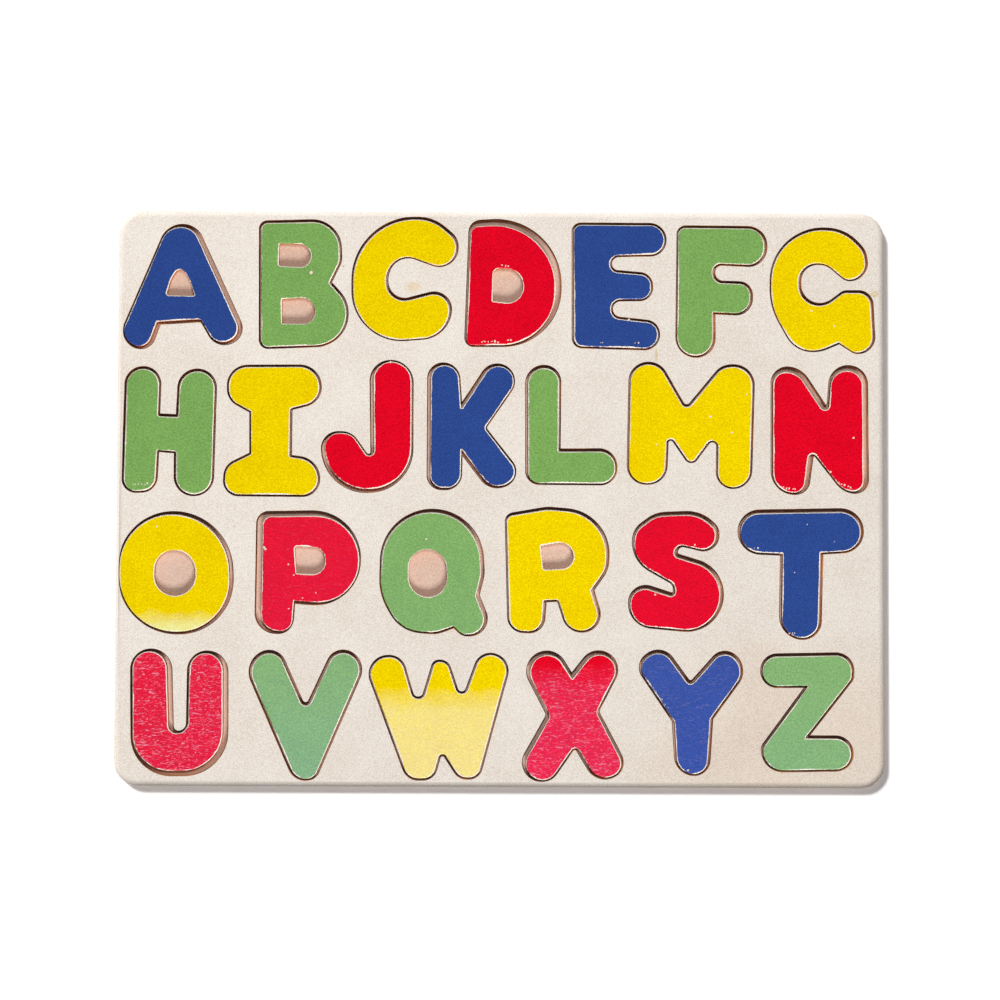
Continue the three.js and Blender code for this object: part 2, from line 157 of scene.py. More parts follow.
# a smooth outline as points, outward normals, and the hollow arcs that can close up when the outline grows
def smoothOutline(loop):
    lengths, headings, bends = arcsOf(loop)
    count = len(loop)
    with np.errstate(divide="ignore"):
        radii = np.where(bends == 0, np.inf, lengths / (2 * np.sin(bends / 2)))
    same = [bends[i] != 0 and abs(radii[i] - radii[i - 1]) < outlineLook["sameRadius"] for i in range(count)]
    first = next(i for i in range(count) if not same[i])
    points, normals, hollows = [], [], []
    for k in range(count):
        i = (first + k) % count
        pieces = max(1, math.ceil(abs(math.degrees(bends[i])) / outlineLook["stepDegrees"]))
        startHeading = headings[i] - bends[i] / 2
        if bends[i] < 0:
            centre = loop[i] + radii[i] * np.array([-math.sin(startHeading), math.cos(startHeading)])
            if same[i] and hollows:
                hollows[-1]["turn"] += bends[i]
            else:
                hollows.append({"first": len(points), "centre": centre, "radius": -radii[i],
                                "heading": startHeading, "turn": bends[i]})
        for step in range(pieces):
            heading = startHeading + bends[i] * step / pieces
            point = loop[i]
            if bends[i] != 0:
                reach = [math.sin(heading) - math.sin(startHeading),
                         math.cos(startHeading) - math.cos(heading)]
                point = loop[i] + radii[i] * np.array(reach)
            points.append(point)
            normals.append([math.sin(heading), -math.cos(heading)])
        if bends[i] < 0:
            hollows[-1]["last"] = len(points)
    return np.array(points), np.array(normals), hollows


# moves an outline outwards, and leaves a hollow corner that closes up sharp
def grown(outline, by):
    points, normals, hollows = outline
    ring = points + normals * by
    for arc in hollows:
        left = arc["radius"] - by
        if left <= 0:
            middle = arc["heading"] + arc["turn"] / 2
            towards = -np.array([math.sin(middle), -math.cos(middle)])
            sharp = arc["centre"] + towards * left / math.cos(arc["turn"] / 2)
            ends = [i % len(ring) for i in range(arc["first"], arc["last"] + 1)]
            ring[ends] = sharp
    return ring


# walls: for each outline its rings from the lowest to the highest, as (z, ring, rim value, material, smooth)
def loftMesh(name, walls, materials, capMaterials=(0, 0)):
    points, faces, rims, slots, smooth = [], [], [], [], []
    for levels in walls:
        count = len(levels[0][1])
        base = len(points)
        for z, ring, rim, _, _ in levels:
            points.extend((x * mm, y * mm, z * mm) for x, y in ring)
            rims.extend(np.broadcast_to(rim, count))
        for level in range(len(levels) - 1):
            for i in range(count):
                a = base + level * count + i
                b = base + level * count + (i + 1) % count
                faces.append((a, b, b + count, a + count))
                slots.append(levels[level][3])
                smooth.append(levels[level][4])
    # flat caps under the lowest rings and over the highest
    starts = np.cumsum([0] + [len(levels) * len(levels[0][1]) for levels in walls])
    for end in (0, -1):
        rings = [[Vector((x, y, 0)) for x, y in levels[end][1]] for levels in walls]
        index = []
        for start, levels in zip(starts, walls):
            count = len(levels[0][1])
            offset = 0 if end == 0 else (len(levels) - 1) * count
            index.extend(range(start + offset, start + offset + count))
        for triangle in geometry.tessellate_polygon(rings):
            corners = [index[i] for i in triangle]
            (ax, ay, _), (bx, by, _), (cx, cy, _) = [points[i] for i in corners]
            upward = (bx - ax) * (cy - ay) > (by - ay) * (cx - ax)
            faces.append(corners if upward == (end == -1) else corners[::-1])
            slots.append(capMaterials[end])
            smooth.append(False)
    mesh = bpy.data.meshes.new(name)
    mesh.from_pydata(points, [], faces)
    mesh.attributes.new("rim", "FLOAT", "POINT").data.foreach_set("value", rims)
    mesh.polygons.foreach_set("material_index", slots)
    mesh.polygons.foreach_set("use_smooth", smooth)
    for material in materials:
        mesh.materials.append(material)
    mesh.validate()
    return mesh


def addObject(name, data):
    made = bpy.data.objects.new(name, data)
    bpy.context.scene.collection.objects.link(made)
    return made


# the finished mesh of an object with its modifiers applied
def appliedMesh(worked):
    bpy.context.view_layer.update()
    return bpy.data.meshes.new_from_object(worked.evaluated_get(bpy.context.evaluated_depsgraph_get()))


# sizes and depths in mm, and limits as (from, to) in a noise that runs from 0 to 1
plywoodLook = {
    "veneer": "#f3ece3", "veneerDark": "#d8c9bb", "backing": "#e0c8b8", "backingDark": "#cca78f",
    "speckSize": 0.52, "speckDepth": 0.04, "speckRelief": 0.2,
    "patchSize": 30, "patchShare": 0.16, "toneLimits": (0.36, 0.6),
    "fibre": "#d9c3af", "fibreWidth": 0.7, "fibreLength": 26,
    "fibreLimits": (0.52, 0.75), "fibreShare": 0.08,
    "roughness": 0.62, "ior": 1.45, "shine": 0.1,
}

# the outline of a stain or of a painted shade, in shares of its half widths
blotLook = {"wanderScale": 1.5, "wander": 0.8, "edge": (0.8, 1.4), "hollowEdge": (0.6, 1)}


# sanded birch plywood: pale and mottled, with a faint short fibre along X and no shine
def sandedPlywood(name, pale, dark, stainsAndShade=()):
    look = plywoodLook
    material, tree = startMaterial(name)
    coords = addNode(tree, "ShaderNodeTexCoord").outputs["Object"]
    across = patternScale(look["fibreWidth"])
    stretched = addNode(tree, "ShaderNodeMapping", {
        "Vector": coords, "Scale": (patternScale(look["fibreLength"]), across, across)})
    fibre = addNode(tree, "ShaderNodeTexNoise", {"Vector": stretched.outputs[0], "Scale": 1, "Detail": 3})
    speck = addNode(tree, "ShaderNodeTexNoise", {
        "Vector": coords, "Scale": patternScale(look["speckSize"]), "Detail": 2, "Roughness": 0.6})
    patch = addNode(tree, "ShaderNodeTexNoise", {
        "Vector": coords, "Scale": patternScale(look["patchSize"]), "Detail": 2})
    mottle = addNode(tree, "ShaderNodeMix", {
        "Factor": look["patchShare"], "A": speck.outputs["Fac"], "B": patch.outputs["Fac"]})
    paleShare = addNode(tree, "ShaderNodeMapRange", {
        "Value": mottle.outputs["Result"],
        "From Min": look["toneLimits"][0], "From Max": look["toneLimits"][1]})
    tone = addNode(tree, "ShaderNodeMix", {
        "Factor": paleShare.outputs[0], "A": linear(dark), "B": linear(pale)}, data_type="RGBA")
    fibreShare = addNode(tree, "ShaderNodeMapRange", {
        "Value": fibre.outputs["Fac"], "From Min": look["fibreLimits"][0], "From Max": look["fibreLimits"][1],
        "To Min": 0, "To Max": look["fibreShare"]})
    colour = addNode(tree, "ShaderNodeMix", {
        "Factor": fibreShare.outputs[0], "A": tone.outputs["Result"], "B": linear(look["fibre"])},
        data_type="RGBA").outputs["Result"]
    # a stain or a painted shade is a blot, or a ring where its middle is hollow
    for (x, y), (halfX, halfY), hollow, strength, blotColour in stainsAndShade:
        centred = addNode(tree, "ShaderNodeVectorMath", {0: coords, 1: (x * mm, y * mm, 0)},
                          operation="SUBTRACT")
        squashed = addNode(tree, "ShaderNodeVectorMath", {
            0: centred.outputs[0], 1: (patternScale(halfX), patternScale(halfY), 0)}, operation="MULTIPLY")
        reach = addNode(tree, "ShaderNodeVectorMath", {0: squashed.outputs[0]}, operation="LENGTH")
        wander = addNode(tree, "ShaderNodeTexNoise", {
            "Vector": squashed.outputs[0], "Scale": blotLook["wanderScale"], "Detail": 2})
        edge = addNode(tree, "ShaderNodeMath", {
            0: wander.outputs["Fac"], 1: blotLook["wander"], 2: reach.outputs["Value"]},
            operation="MULTIPLY_ADD")
        blot = addNode(tree, "ShaderNodeMapRange", {
            "Value": edge.outputs[0], "From Min": blotLook["edge"][0], "From Max": blotLook["edge"][1],
            "To Min": strength, "To Max": 0})
        middle = addNode(tree, "ShaderNodeMapRange", {
            "Value": edge.outputs[0], "From Min": blotLook["hollowEdge"][0],
            "From Max": blotLook["hollowEdge"][1], "To Min": 1 - hollow, "To Max": 1})
        share = addNode(tree, "ShaderNodeMath", {0: blot.outputs[0], 1: middle.outputs[0]},
                        operation="MULTIPLY")
        colour = addNode(tree, "ShaderNodeMix", {
            "Factor": share.outputs[0], "A": colour, "B": linear(blotColour)},
            data_type="RGBA", blend_type="MULTIPLY").outputs["Result"]
    bump = addNode(tree, "ShaderNodeBump", {
        "Height": speck.outputs["Fac"], "Strength": look["speckRelief"], "Distance": look["speckDepth"] * mm})
    shader = addNode(tree, "ShaderNodeBsdfPrincipled", {
        "Base Color": colour, "Normal": bump.outputs[0], "Roughness": look["roughness"],
        "IOR": look["ior"], "Specular IOR Level": look["shine"]})
    addNode(tree, "ShaderNodeOutputMaterial", {"Surface": shader.outputs[0]})
    return material


sawnLook = {
    "core": "#e3a064", "coreDark": "#c87c40", "toneLimits": (0.35, 0.8), "plyThickness": 1.25, "plyShare": 0.55,
    "sawMarkSize": 1.1, "sawMarkDepth": 0.1, "sawMarkRelief": 0.5,
    # the dark brown at the top of the recess walls and how deep it reaches
    "veneerDepth": 0.5, "recessTopDark": "#3a2218", "recessTopDarkDepth": 0.9, "topBlend": 0.3,
    "topPatchSize": 14, "topPatchLimits": (0.35, 0.55), "topLeast": 0.45,
    "roughness": 0.8, "ior": 1.45, "shine": 0.2,
}


# sawn edge of plywood: reddish core plies with darker glue lines, and a top ply whose colour comes and goes
def sawnEdge(name, edgeTop, topDepth, topColour):
    look = sawnLook
    material, tree = startMaterial(name)
    coords = addNode(tree, "ShaderNodeTexCoord").outputs["Object"]
    height = addNode(tree, "ShaderNodeSeparateXYZ", {0: coords}).outputs["Z"]
    plies = addNode(tree, "ShaderNodeMath", {0: height, 1: patternScale(look["plyThickness"])},
                    operation="MULTIPLY")
    inPly = addNode(tree, "ShaderNodeMath", {0: plies.outputs[0]}, operation="FRACT")
    sawMarks = addNode(tree, "ShaderNodeTexNoise", {
        "Vector": coords, "Scale": patternScale(look["sawMarkSize"]), "Detail": 3})
    mixed = addNode(tree, "ShaderNodeMath", {
        0: inPly.outputs[0], 1: look["plyShare"], 2: sawMarks.outputs["Fac"]}, operation="MULTIPLY_ADD")
    lightShare = addNode(tree, "ShaderNodeMapRange", {
        "Value": mixed.outputs[0], "From Min": look["toneLimits"][0], "From Max": look["toneLimits"][1]})
    core = addNode(tree, "ShaderNodeMix", {
        "Factor": lightShare.outputs[0], "A": linear(look["coreDark"]), "B": linear(look["core"])},
        data_type="RGBA")
    topPly = addNode(tree, "ShaderNodeMapRange", {
        "Value": height, "From Min": edgeTop - (topDepth + look["topBlend"]) * mm,
        "From Max": edgeTop - (topDepth - look["topBlend"]) * mm})
    topPatch = addNode(tree, "ShaderNodeTexNoise", {
        "Vector": coords, "Scale": patternScale(look["topPatchSize"]), "Detail": 2})
    strength = addNode(tree, "ShaderNodeMapRange", {
        "Value": topPatch.outputs["Fac"], "From Min": look["topPatchLimits"][0],
        "From Max": look["topPatchLimits"][1], "To Min": look["topLeast"]})
    topShare = addNode(tree, "ShaderNodeMath", {0: topPly.outputs[0], 1: strength.outputs[0]},
                       operation="MULTIPLY")
    colour = addNode(tree, "ShaderNodeMix", {
        "Factor": topShare.outputs[0], "A": core.outputs["Result"], "B": linear(topColour)}, data_type="RGBA")
    bump = addNode(tree, "ShaderNodeBump", {
        "Height": sawMarks.outputs["Fac"], "Strength": look["sawMarkRelief"],
        "Distance": look["sawMarkDepth"] * mm})
    shader = addNode(tree, "ShaderNodeBsdfPrincipled", {
        "Base Color": colour.outputs["Result"], "Normal": bump.outputs[0], "Roughness": look["roughness"],
        "IOR": look["ior"], "Specular IOR Level": look["shine"]})
    addNode(tree, "ShaderNodeOutputMaterial", {"Surface": shader.outputs[0]})
    return material


# a stain or a painted shade is (middle), (half widths), how hollow it is, its strength and its colour
trayLook = {
    "topRound": 3.5, "bottomRound": 1, "edgeSteps": 8, "cutRound": 0.35, "cutSteps": 3, "cutBeyond": 1,
    "mergeDistance": 1e-7,
    "stainsAndShade": [
        ((-46, 110), (5.5, 3.6), 0, 0.45, "#f2dca8"), ((81, 75), (0.9, 4), 0, 0.7, "#e8cf9a"),
        # the wide blot at (150, -125) is painted shade: it darkens and warms the lower right of the face
        ((194.6, 107), (2.6, 1.6), 0.8, 0.8, "#e6cf58"), ((150, -125), (90, 60), 0, 0.35, "#efdcc8"),
        ((-82.2, 120.7), (0.6, 0.6), 0, 0.6, "#6b4a3a"), ((-137.8, -15.2), (0.6, 0.6), 0, 0.5, "#6b4a3a"),
        ((136.5, 122), (0.6, 0.6), 0, 0.5, "#6b4a3a"), ((166, 146), (0.6, 0.6), 0, 0.5, "#6b4a3a"),
    ],
}

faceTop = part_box("face_sheet")[1].z
topZ = faceTop / mm
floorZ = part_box("backing_sheet")[1].z / mm

facePlywood = sandedPlywood(
    "sandedFacePlywood", plywoodLook["veneer"], plywoodLook["veneerDark"], trayLook["stainsAndShade"])
backPlywood = sandedPlywood("sandedBackingPlywood", plywoodLook["backing"], plywoodLook["backingDark"])
cutEdge = sawnEdge("sawnPlywoodEdge", faceTop, sawnLook["veneerDepth"], plywoodLook["veneer"])
# the recess walls are dark brown near the top, which darkens the gaps round the letters
recessEdge = sawnEdge("darkTopPlywoodEdge", faceTop, sawnLook["recessTopDarkDepth"], sawnLook["recessTopDark"])

underLoops = flatLoops("face_sheet", -1)
underLoops.sort(key=lambda loop: -abs(loopArea(loop)))
trayOutline = smoothOutline(underLoops[0])
recessLoops = underLoops[1:]


# (inset, drop) from the foot of a rounded edge to its top
def quarterRound(radius, steps):
    angles = [math.pi / 2 * i / steps for i in range(steps + 1)]
    return [(radius * (1 - math.cos(a)), radius * (1 - math.sin(a))) for a in angles]


def sheetMesh(name, levels, materials):
    return loftMesh(name, [[(z, grown(trayOutline, -inset), 0, 0, True) for z, inset in levels]], materials)


topEdge = [(topZ - drop, inset) for inset, drop in quarterRound(trayLook["topRound"], trayLook["edgeSteps"])]
bottomEdge = [(drop, inset) for inset, drop in quarterRound(trayLook["bottomRound"], trayLook["edgeSteps"])]
faceMesh = sheetMesh("face_sheet_blank", [(floorZ, 0)] + topEdge, [facePlywood, recessEdge])
backMesh = sheetMesh("backing_sheet_sanded", bottomEdge[::-1] + [(floorZ, 0)], [backPlywood])

# each recess is the letter's own outline grown by its play, moved to where it is cut, with its top edge eased
letterNames = sorted(name for name in frame["nodes"] if name.startswith("letter_"))
cutLevels = [(topZ - drop, flare) for flare, drop in quarterRound(trayLook["cutRound"], trayLook["cutSteps"])]
cutLevels = [(floorZ - trayLook["cutBeyond"], 0)] + cutLevels
cutLevels = cutLevels + [(topZ + trayLook["cutBeyond"], trayLook["cutRound"])]
outlines, cutters = {}, []
for name in letterNames:
    loops = sorted(flatLoops(name, 1), key=lambda loop: -loopArea(loop))
    outlines[name] = [smoothOutline(loop) for loop in loops]
    low, high = [np.array(corner[:2]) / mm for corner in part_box(name)]
    middle = (low + high) / 2
    recess = min(recessLoops, key=lambda loop: np.linalg.norm(middleOf(loop) - middle))
    play = float(np.mean((np.ptp(recess, 0) - (high - low)) / 2))
    rimWidth = float(np.mean((high - low - np.ptp(loops[0], 0)) / 2))
    shift = middleOf(recess) - middle
    rings = [(z, grown(outlines[name][0], rimWidth + play + flare) + shift, 0, 1, True)
             for z, flare in cutLevels]
    cutterMesh = loftMesh(name + "_cutter", [rings], [facePlywood, recessEdge], (1, 1))
    cutters.append(addObject(name + "_cutter", cutterMesh))

face = addObject("face_sheet_cut", faceMesh)
cutter = cutters[0]
with bpy.context.temp_override(active_object=cutter, selected_editable_objects=cutters):
    bpy.ops.object.join()
for mesh in (face.data, cutter.data):
    merged = bmesh.new()
    merged.from_mesh(mesh)
    bmesh.ops.remove_doubles(merged, verts=merged.verts, dist=trayLook["mergeDistance"])
    bmesh.ops.dissolve_degenerate(merged, edges=merged.edges, dist=trayLook["mergeDistance"])
    merged.to_mesh(mesh)
    merged.free()
cut = face.modifiers.new("recesses", "BOOLEAN")
cut.operation = "DIFFERENCE"
cut.solver = "MANIFOLD"
cut.object = cutter
cutMesh = appliedMesh(face)
face.modifiers.clear()
face.data = cutMesh
bpy.data.objects.remove(cutter)
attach(face, "tray")
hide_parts("face_sheet")
print("face sheet cut,", len(cutMesh.polygons), "faces")

backing = addObject("backing_sheet_sanded", backMesh)
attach(backing, "tray")
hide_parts("backing_sheet")
print("backing sheet made")

# sizes and depths in mm, and limits as (from, to)
paintLook = {
    "colours": {"blue_paint": "#2e4a90", "green_paint": "#7fac5c", "yellow_paint": "#ffd400",
                "red_paint": "#e40724"},
    "grainSize": 0.8, "grainRelief": 0.08, "patchSize": 14, "patchShare": 0.15,
    "toneLimits": (0.32, 0.68), "darkTone": 0.74, "lightTone": 1.2, "lightLift": 0.001,
    "bareRim": "#fbf1e2", "bareRoughness": 0.7, "bareLimits": (1.32, 1.44),
    "edgeWander": 1.4, "wanderShare": 0.8, "wearSize": 16, "wearShare": 1.6,
    # the pale colour here is mixed into the paint below the glare line: a painted reflection
    "paintedGlare": "#eefcc4", "glareLineWander": 9, "glareLineSoftness": 6,
    "brushLimits": (0.3, 0.7), "brushStrength": (0.5, 1.4),
    "wrinkleWidth": 0.7, "wrinkleLength": 3.4, "wrinkleTwist": 1.6, "reliefDepth": 0.2,
    # the glints are painted highlights: a pale pink mixed into the paint on the ridges of the wrinkles
    "glintLimits": (0.57, 0.68), "glintKeep": 0.3, "glintLift": (0.6, 0.42, 0.5),
    "roughness": 0.42, "sheenRoughness": 0.2, "sheenShine": 0.62, "ior": 1.5,
    "beadTilt": (0.9, 0.99), "beadShine": 0.5, "beadRoughness": 0.28,
}


# brushed enamel on plywood: a strong colour, softly shiny in places, with a thin rim of bare wood at the edges
def paintedWood(slot):
    look = paintLook
    material, tree = startMaterial(slot.replace("_paint", "EnamelOnPlywood"))
    coords = addNode(tree, "ShaderNodeTexCoord").outputs["Object"]
    paint = linear(look["colours"][slot])[:3]

    # a fine mottle in the paint
    grain = addNode(tree, "ShaderNodeTexNoise", {
        "Vector": coords, "Scale": patternScale(look["grainSize"]), "Detail": 2})
    patch = addNode(tree, "ShaderNodeTexNoise", {
        "Vector": coords, "Scale": patternScale(look["patchSize"]), "Detail": 2})
    mottle = addNode(tree, "ShaderNodeMix", {
        "Factor": look["patchShare"], "A": grain.outputs["Fac"], "B": patch.outputs["Fac"]})
    lightShare = addNode(tree, "ShaderNodeMapRange", {
        "Value": mottle.outputs["Result"],
        "From Min": look["toneLimits"][0], "From Max": look["toneLimits"][1]})
    darkPaint = [c * look["darkTone"] for c in paint] + [1]
    lightPaint = [min(1, c * look["lightTone"] + look["lightLift"]) for c in paint] + [1]
    tone = addNode(tree, "ShaderNodeMix", {"Factor": lightShare.outputs[0], "A": darkPaint, "B": lightPaint},
                   data_type="RGBA")

    # bare wood at the rim, wider where the letter is more worn
    rim = addNode(tree, "ShaderNodeAttribute", attribute_name="rim").outputs["Fac"]
    wander = addNode(tree, "ShaderNodeTexNoise", {
        "Vector": coords, "Scale": patternScale(look["edgeWander"]), "Detail": 3, "Roughness": 0.6})
    wear = addNode(tree, "ShaderNodeTexNoise", {"Vector": coords, "Scale": patternScale(look["wearSize"])})
    wornRim = addNode(tree, "ShaderNodeMath", {0: wear.outputs["Fac"], 1: look["wearShare"], 2: rim},
                      operation="MULTIPLY_ADD")
    edge = addNode(tree, "ShaderNodeMath", {
        0: wander.outputs["Fac"], 1: look["wanderShare"], 2: wornRim.outputs[0]}, operation="MULTIPLY_ADD")
    bare = addNode(tree, "ShaderNodeMapRange", {
        "Value": edge.outputs[0], "From Min": look["bareLimits"][0], "From Max": look["bareLimits"][1]})

    # the shine, the wrinkles with their painted glints, and a pale painted glare lie below a wavy line across
    # the letter
    upPage = addNode(tree, "ShaderNodeSeparateXYZ", {0: coords}).outputs["Y"]
    waver = addNode(tree, "ShaderNodeTexNoise", {
        "Vector": coords, "Scale": patternScale(look["glareLineWander"]), "Detail": 3})
    level = addNode(tree, "ShaderNodeMath", {0: waver.outputs["Fac"], 1: look["glareLineWander"] * mm, 2: upPage},
                    operation="MULTIPLY_ADD")
    line = addNode(tree, "ShaderNodeAttribute", attribute_name="glareLineTop").outputs["Fac"]
    depth = addNode(tree, "ShaderNodeMath", {0: line, 1: level.outputs[0]}, operation="SUBTRACT")
    below = addNode(tree, "ShaderNodeMapRange", {
        "Value": depth.outputs[0], "From Min": -look["glareLineSoftness"] * mm,
        "From Max": look["glareLineSoftness"] * mm}).outputs[0]
    sheenThere = addNode(tree, "ShaderNodeAttribute", attribute_name="sheen").outputs["Fac"]
    sheen = addNode(tree, "ShaderNodeMath", {0: sheenThere, 1: below}, operation="MULTIPLY").outputs[0]
    faceRoughness = addNode(tree, "ShaderNodeMapRange", {
        "Value": sheen, "To Min": look["roughness"], "To Max": look["sheenRoughness"]})
    faceShine = addNode(tree, "ShaderNodeMapRange", {
        "Value": sheen, "To Min": 0, "To Max": look["sheenShine"]})

    # the paint lies thick and glossy round the letter's edge
    facing = addNode(tree, "ShaderNodeTexCoord").outputs["Normal"]
    tilt = addNode(tree, "ShaderNodeSeparateXYZ", {0: facing}).outputs["Z"]
    bead = addNode(tree, "ShaderNodeMapRange", {
        "Value": tilt, "From Min": look["beadTilt"][0], "From Max": look["beadTilt"][1],
        "To Min": 1, "To Max": 0})
    beadShine = addNode(tree, "ShaderNodeMath", {0: bead.outputs[0], 1: look["beadShine"]},
                        operation="MULTIPLY")
    shine = addNode(tree, "ShaderNodeMath", {0: faceShine.outputs[0], 1: beadShine.outputs[0]},
                    operation="MAXIMUM")
    paintRoughness = addNode(tree, "ShaderNodeMix", {
        "Factor": bead.outputs[0], "A": faceRoughness.outputs[0], "B": look["beadRoughness"]})
    roughness = addNode(tree, "ShaderNodeMix", {
        "Factor": bare.outputs[0], "A": paintRoughness.outputs["Result"], "B": look["bareRoughness"]})

    # brush wrinkles along X in the relief, with painted glints in pale pink on their ridges, and the painted
    # glare brushed the same way
    across = patternScale(look["wrinkleWidth"])
    stretched = addNode(tree, "ShaderNodeMapping", {
        "Vector": coords, "Scale": (patternScale(look["wrinkleLength"]), across, across)})
    folds = addNode(tree, "ShaderNodeTexNoise", {
        "Vector": stretched.outputs[0], "Scale": 1, "Detail": 3, "Distortion": look["wrinkleTwist"]})
    wrinkleAndGlintThere = addNode(tree, "ShaderNodeAttribute", attribute_name="wrinkleAndGlint").outputs["Fac"]
    wrinkleAndGlint = addNode(tree, "ShaderNodeMath", {0: wrinkleAndGlintThere, 1: below}, operation="MULTIPLY").outputs[0]
    glintMask = addNode(tree, "ShaderNodeMapRange", {
        "Value": folds.outputs["Fac"], "From Min": look["glintLimits"][0], "From Max": look["glintLimits"][1]})
    glintShare = addNode(tree, "ShaderNodeMath", {0: glintMask.outputs[0], 1: wrinkleAndGlint}, operation="MULTIPLY")
    glintPaint = [look["glintKeep"] * c + lift for c, lift in zip(paint, look["glintLift"])] + [1]
    withPaintedGlints = addNode(tree, "ShaderNodeMix", {
        "Factor": glintShare.outputs[0], "A": tone.outputs["Result"], "B": glintPaint}, data_type="RGBA")
    brushed = addNode(tree, "ShaderNodeMapRange", {
        "Value": folds.outputs["Fac"], "From Min": look["brushLimits"][0], "From Max": look["brushLimits"][1],
        "To Min": look["brushStrength"][0], "To Max": look["brushStrength"][1]})
    paintedGlareThere = addNode(tree, "ShaderNodeAttribute", attribute_name="paintedGlare").outputs["Fac"]
    paintedGlareBrushed = addNode(tree, "ShaderNodeMath", {0: paintedGlareThere, 1: brushed.outputs[0]}, operation="MULTIPLY")
    paintedGlare = addNode(tree, "ShaderNodeMath", {0: paintedGlareBrushed.outputs[0], 1: below}, operation="MULTIPLY")
    withPaintedGlare = addNode(tree, "ShaderNodeMix", {
        "Factor": paintedGlare.outputs[0], "A": withPaintedGlints.outputs["Result"], "B": linear(look["paintedGlare"])},
        data_type="RGBA")
    colour = addNode(tree, "ShaderNodeMix", {
        "Factor": bare.outputs[0], "A": withPaintedGlare.outputs["Result"], "B": linear(look["bareRim"])},
        data_type="RGBA")

    folded = addNode(tree, "ShaderNodeMath", {0: folds.outputs["Fac"], 1: wrinkleAndGlint}, operation="MULTIPLY")
    relief = addNode(tree, "ShaderNodeMath", {
        0: grain.outputs["Fac"], 1: look["grainRelief"], 2: folded.outputs[0]}, operation="MULTIPLY_ADD")
    bump = addNode(tree, "ShaderNodeBump", {
        "Height": relief.outputs[0], "Strength": 1, "Distance": look["reliefDepth"] * mm})
    shader = addNode(tree, "ShaderNodeBsdfPrincipled", {
        "Base Color": colour.outputs["Result"], "Roughness": roughness.outputs["Result"],
        "Normal": bump.outputs[0], "IOR": look["ior"], "Specular IOR Level": shine.outputs[0]})
    addNode(tree, "ShaderNodeOutputMaterial", {"Surface": shader.outputs[0]})
    return material


# The bare rim is real wear, and it is wider on the side that it leans towards, the upper right: a painted
# highlight where light catches those edges.
# The top of the glare line is a height in metres, and plain is the finish of a letter that isn't named.
# A plain top of 1 is past the top of the tray, so that the finish covers the whole letter.
letterLook = {
    "rimSteps": 6, "rimDepth": 0.55, "rimLeanToLight": 0.8, "rimLitSide": (0.55, 0.8),
    "paintSink": 0.03, "paintInset": 0.8, "underEase": 0.3,
    "plain": {"wrinkleAndGlint": 0, "sheen": 0, "paintedGlare": 0, "glareLineTop": 1},
    # these set the brush wrinkles in the relief and the painted glints on them
    "wrinkleAndGlint": {"letter_u": 0.8, "letter_x": 0.6, "letter_p": 0.06, "letter_y": 0.14},
    "sheen": {"letter_w": 0.9, "letter_o": 0.3, "letter_p": 0.3, "letter_q": 0.42, "letter_s": 0.1,
              "letter_u": 0.35, "letter_v": 0.75, "letter_x": 0.45, "letter_y": 0.4, "letter_z": 0.6},
    # the paint is mixed towards a pale colour on O and W: a painted reflection
    "paintedGlare": {"letter_o": 0.7, "letter_w": 0.2},
    "glareLineTop": {"letter_o": -60.5 * mm, "letter_w": -100 * mm, "letter_x": -87 * mm},
}

slotOf = {part["node"]: part["material_slot"] for part in frame["record"]["subparts"]}
paints = {slot: paintedWood(slot) for slot in paintLook["colours"]}
rimAngles = [math.pi / 2 * i / letterLook["rimSteps"] for i in range(letterLook["rimSteps"])]
letterPieces = []
for name in letterNames:
    low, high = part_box(name)
    bottom, top = low.z / mm, high.z / mm - letterLook["paintSink"]
    size = np.array([high.x - low.x, high.y - low.y]) / mm
    rimWidth = float(np.mean((size - np.ptp(outlines[name][0][0], 0)) / 2))
    # (z, how far out, rim value, material, smooth), from the eased underside over the rim to the paint
    levels = [(bottom, rimWidth - letterLook["underEase"], 1, 1, True),
              (bottom + letterLook["underEase"], rimWidth, 1, 1, True)]
    levels += [(top - letterLook["rimDepth"] * (1 - math.sin(a)), rimWidth * math.cos(a),
                math.cos(a), 0, True) for a in rimAngles]
    levels += [(top, 0, 0, 0, False), (top, -letterLook["paintInset"], -1, 0, False)]
    walls = []
    for outline in outlines[name]:
        # the bare rim leans to the upper right, a painted highlight on the upper right edges
        lean = 1 + letterLook["rimLeanToLight"] * (outline[1] @ letterLook["rimLitSide"])
        walls.append([(z, grown(outline, out), rim * lean if rim > 0 else rim, slot, smooth)
                      for z, out, rim, slot, smooth in levels])
    mesh = loftMesh(name + "_painted", walls, [paints[slotOf[name]], cutEdge], (1, 0))
    for finish, plain in letterLook["plain"].items():
        value = letterLook[finish].get(name, plain)
        mesh.attributes.new(finish, "FLOAT", "POINT").data.foreach_set("value", [value] * len(mesh.vertices))
    piece = addObject(name + "_painted", mesh)
    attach(piece, name)
    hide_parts(name)
    letterPieces.append(piece)
print("letters made:", len(letterPieces))

